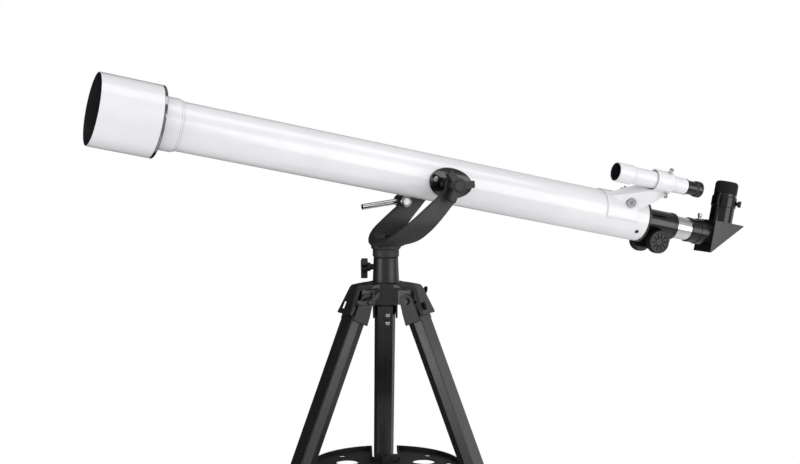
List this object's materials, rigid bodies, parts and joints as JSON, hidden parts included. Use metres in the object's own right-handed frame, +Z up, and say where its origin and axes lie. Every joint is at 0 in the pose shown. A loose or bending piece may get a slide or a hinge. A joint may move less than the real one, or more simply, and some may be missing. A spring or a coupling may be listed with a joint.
{
  "type": "refractor telescope on tripod",
  "caption": "Long white refracting telescope with dew shield, rack focuser, star diagonal and finder, on a fork mount and folding tripod with accessory tray.",
  "frame": {"origin": "on the floor, under the middle of the box round the whole telescope at rest", "axes": "+Z up, -X towards the objective end of the tube, +X towards the eyepiece, +Y along the altitude axis; the azimuth axis stands at x = -0.08928 m, y = -0.02379 m, and the altitude axis is 0.8045 m above the floor and 0.0784 m behind the azimuth axis"},
  "size_m": [0.9818, 0.5624, 0.9515],
  "materials": {
    "tube_white": "gloss",
    "trim_chrome": "polished",
    "optical_glass": "polished, coated",
    "matt_black": "matt",
    "gloss_black": "semi gloss",
    "black_screws": "black oxide",
    "bright_steel": "nickel plated",
    "knob_plastic": "satin moulded",
    "mirror": "front coated",
    "rubber_black": "matt",
    "mount_grey": "textured powder coat",
    "hub_plastic": "satin moulded",
    "leg_aluminium": "dark anodised",
    "leg_aluminium_light": "satin anodised",
    "brace_metal": "satin black"
  },
  "bodies": {
    "tripod_head": {"tripod_hub": "mount_grey", "leg_bolts": "black_screws", "wing_nuts": "black_screws"},
    "azimuth_knob": {"azimuth_knob": "knob_plastic"},
    "fork": {"yoke": "mount_grey", "azimuth_spindle": "bright_steel"},
    "tube": {"main_tube": "tube_white", "dew_shield": "tube_white", "dew_shield_ring": "trim_chrome", "lens_cell": "tube_white", "objective_crown": "optical_glass", "objective_flint": "optical_glass", "tube_rings": "matt_black", "focuser_housing": "gloss_black", "tube_screws": "black_screws", "saddle_plates": "gloss_black", "saddle_bolts": "bright_steel", "pinion_cover": "gloss_black", "finder_bracket": "tube_white", "finder_hardware": "bright_steel", "finder_tube": "tube_white", "finder_objective": "optical_glass"},
    "altitude_knob": {"altitude_knob": "knob_plastic"},
    "adjust_rod": {"adjust_rod": "trim_chrome"},
    "rod_swivel": {"rod_swivel": "knob_plastic", "swivel_screw": "trim_chrome"},
    "focus_pinion": {"pinion_shaft": "bright_steel", "focus_knobs": "knob_plastic"},
    "drawtube": {"drawtube": "trim_chrome", "focus_rack": "matt_black", "drawtube_collar": "gloss_black"},
    "drawtube_thumbscrew": {"drawtube_thumbscrew": "bright_steel"},
    "diagonal": {"diagonal_housing": "gloss_black", "diagonal_mirror": "mirror", "eyepiece_holder": "gloss_black"},
    "holder_screw": {"holder_screw": "knob_plastic"},
    "eyepiece": {"eyepiece_body": "gloss_black", "eyepiece_lenses": "optical_glass", "eyecup": "rubber_black"},
    "finder_eyepiece": {"finder_eyepiece": "gloss_black"},
    "tray": {"spreader_hub": "hub_plastic", "tray": "hub_plastic"},
    "leg_a": {"leg_head_a": "hub_plastic", "leg_outer_a": "leg_aluminium"},
    "leg_inner_a": {"leg_inner_a": "leg_aluminium_light", "foot_a": "rubber_black"},
    "leg_knob_a": {"leg_knob_a": "knob_plastic"},
    "brace_a": {"brace_a": "brace_metal"},
    "leg_b": {"leg_head_b": "hub_plastic", "leg_outer_b": "leg_aluminium"},
    "leg_inner_b": {"leg_inner_b": "leg_aluminium_light", "foot_b": "rubber_black"},
    "leg_knob_b": {"leg_knob_b": "knob_plastic"},
    "brace_b": {"brace_b": "brace_metal"},
    "leg_c": {"leg_head_c": "hub_plastic", "leg_outer_c": "leg_aluminium"},
    "leg_inner_c": {"leg_inner_c": "leg_aluminium_light", "foot_c": "rubber_black"},
    "leg_knob_c": {"leg_knob_c": "knob_plastic"},
    "brace_c": {"brace_c": "brace_metal"}
  },
  "joints": [
    {"name": "azimuth", "type": "hinge", "parent": "tripod_head", "child": "fork", "pos_m": [-0.08928, -0.02379, 0.7], "axis": [0, 0, 1], "continuous": true},
    {"name": "altitude", "type": "hinge", "parent": "fork", "child": "tube", "pos_m": [-0.01088, -0.02379, 0.8045], "axis": [0, 1, 0], "range_deg": [-25, 50]},
    {"name": "rod_pin", "type": "hinge", "parent": "tube", "child": "adjust_rod", "pos_m": [0.02539, 0.03421, 0.78774], "axis": [0, 1, 0], "range_deg": [-25.5, 13]},
    {"name": "rod_swivel", "type": "hinge", "parent": "fork", "child": "rod_swivel", "pos_m": [-0.04188, 0.03421, 0.77931], "axis": [0, 1, 0], "range_deg": [-13, 25.5]},
    {"name": "altitude_clamp", "type": "hinge", "parent": "fork", "child": "altitude_knob", "pos_m": [-0.01088, -0.08379, 0.8045], "axis": [0, 1, 0], "range_deg": [-180, 180]},
    {"name": "azimuth_clamp", "type": "hinge", "parent": "tripod_head", "child": "azimuth_knob", "pos_m": [-0.11228, -0.014, 0.693], "axis": [-0.9201, 0.3917, 0], "range_deg": [-180, 180]},
    {"name": "focus_travel", "type": "slide", "parent": "tube", "child": "drawtube", "axis": [0.9807, 0, -0.1954], "range_m": [-0.026, 0.07]},
    {"name": "focus_knob", "type": "hinge", "parent": "tube", "child": "focus_pinion", "pos_m": [0.33419, -0.02379, 0.71453], "axis": [0, 1, 0], "range_deg": [-249, 669]},
    {"name": "drawtube_clamp", "type": "hinge", "parent": "drawtube", "child": "drawtube_thumbscrew", "pos_m": [0.42434, -0.02379, 0.74734], "axis": [0.1954, 0, 0.9807], "range_deg": [-180, 180]},
    {"name": "diagonal_turn", "type": "hinge", "parent": "drawtube", "child": "diagonal", "pos_m": [0.43475, -0.02379, 0.72283], "axis": [0.9807, 0, -0.1954], "continuous": true},
    {"name": "holder_clamp", "type": "hinge", "parent": "diagonal", "child": "holder_screw", "pos_m": [0.46845, -0.02379, 0.76914], "axis": [0.7513, -0.6428, -0.1497], "range_deg": [-180, 180]},
    {"name": "eyepiece_slide", "type": "slide", "parent": "diagonal", "child": "eyepiece", "axis": [0.1954, 0, 0.9807], "range_m": [0, 0.02]},
    {"name": "finder_focus", "type": "hinge", "parent": "tube", "child": "finder_eyepiece", "pos_m": [0.37952, -0.0656, 0.79361], "axis": [0.9807, 0, -0.1954], "range_deg": [-180, 180]},
    {"name": "leg_fold_a", "type": "hinge", "parent": "tripod_head", "child": "leg_a", "pos_m": [-0.06414, -0.0549, 0.65], "axis": [0.7778, 0.6285, 0], "range_deg": [0, 17.5]},
    {"name": "leg_extend_a", "type": "slide", "parent": "leg_a", "child": "leg_inner_a", "axis": [0.2405, -0.2977, -0.9239], "range_m": [0, 0.35]},
    {"name": "leg_lock_a", "type": "hinge", "parent": "leg_a", "child": "leg_knob_a", "pos_m": [0.10575, -0.26515, 0.06274], "axis": [0.5807, -0.7186, 0.3827], "range_deg": [-180, 180]},
    {"name": "brace_fold_a", "type": "hinge", "parent": "leg_a", "child": "brace_a", "pos_m": [0.00478, -0.14019, 0.33823], "axis": [0.7778, 0.6285, 0], "range_deg": [0, 37.25]},
    {"name": "leg_fold_b", "type": "hinge", "parent": "tripod_head", "child": "leg_b", "pos_m": [-0.12879, -0.03001, 0.65], "axis": [0.1554, -0.9879, 0], "range_deg": [0, 17.5]},
    {"name": "leg_extend_b", "type": "slide", "parent": "leg_b", "child": "leg_inner_b", "axis": [-0.378, -0.0595, -0.9239], "range_m": [0, 0.35]},
    {"name": "leg_lock_b", "type": "hinge", "parent": "leg_b", "child": "leg_knob_b", "pos_m": [-0.39582, -0.07201, 0.06274], "axis": [-0.9127, -0.1436, 0.3827], "range_deg": [-180, 180]},
    {"name": "brace_fold_b", "type": "hinge", "parent": "leg_b", "child": "brace_b", "pos_m": [-0.23712, -0.04705, 0.33823], "axis": [0.1554, -0.9879, 0], "range_deg": [0, 37.25]},
    {"name": "leg_fold_c", "type": "hinge", "parent": "tripod_head", "child": "leg_c", "pos_m": [-0.07491, 0.01354, 0.65], "axis": [-0.9332, 0.3593, 0], "range_deg": [0, 17.5]},
    {"name": "leg_extend_c", "type": "slide", "parent": "leg_c", "child": "leg_inner_c", "axis": [0.1375, 0.3571, -0.9239], "range_m": [0, 0.35]},
    {"name": "leg_lock_c", "type": "hinge", "parent": "leg_c", "child": "leg_knob_c", "pos_m": [0.02223, 0.26579, 0.06274], "axis": [0.332, 0.8622, 0.3827], "range_deg": [-180, 180]},
    {"name": "brace_fold_c", "type": "hinge", "parent": "leg_c", "child": "brace_c", "pos_m": [-0.0355, 0.11587, 0.33823], "axis": [-0.9332, 0.3593, 0], "range_deg": [0, 37.25]},
    {"name": "tray_lift", "type": "slide", "parent": "tripod_head", "child": "tray", "axis": [0, 0, 1], "range_m": [0, 0.0625]}
  ],
  "couplings": [
    {"joint": "rod_pin", "follows": "altitude", "ratio": -0.5},
    {"joint": "rod_swivel", "follows": "altitude", "ratio": 0.5},
    {"joint": "focus_knob", "follows": "focus_travel", "rad_per_m": 166.67},
    {"joint": "leg_fold_b", "follows": "leg_fold_a", "ratio": 1},
    {"joint": "leg_fold_c", "follows": "leg_fold_a", "ratio": 1},
    {"joint": "brace_fold_a", "follows": "leg_fold_a", "ratio": 2.1269},
    {"joint": "brace_fold_b", "follows": "leg_fold_a", "ratio": 2.1269},
    {"joint": "brace_fold_c", "follows": "leg_fold_a", "ratio": 2.1269},
    {"joint": "tray_lift", "follows": "leg_fold_a", "m_per_rad": 0.2044}
  ]
}
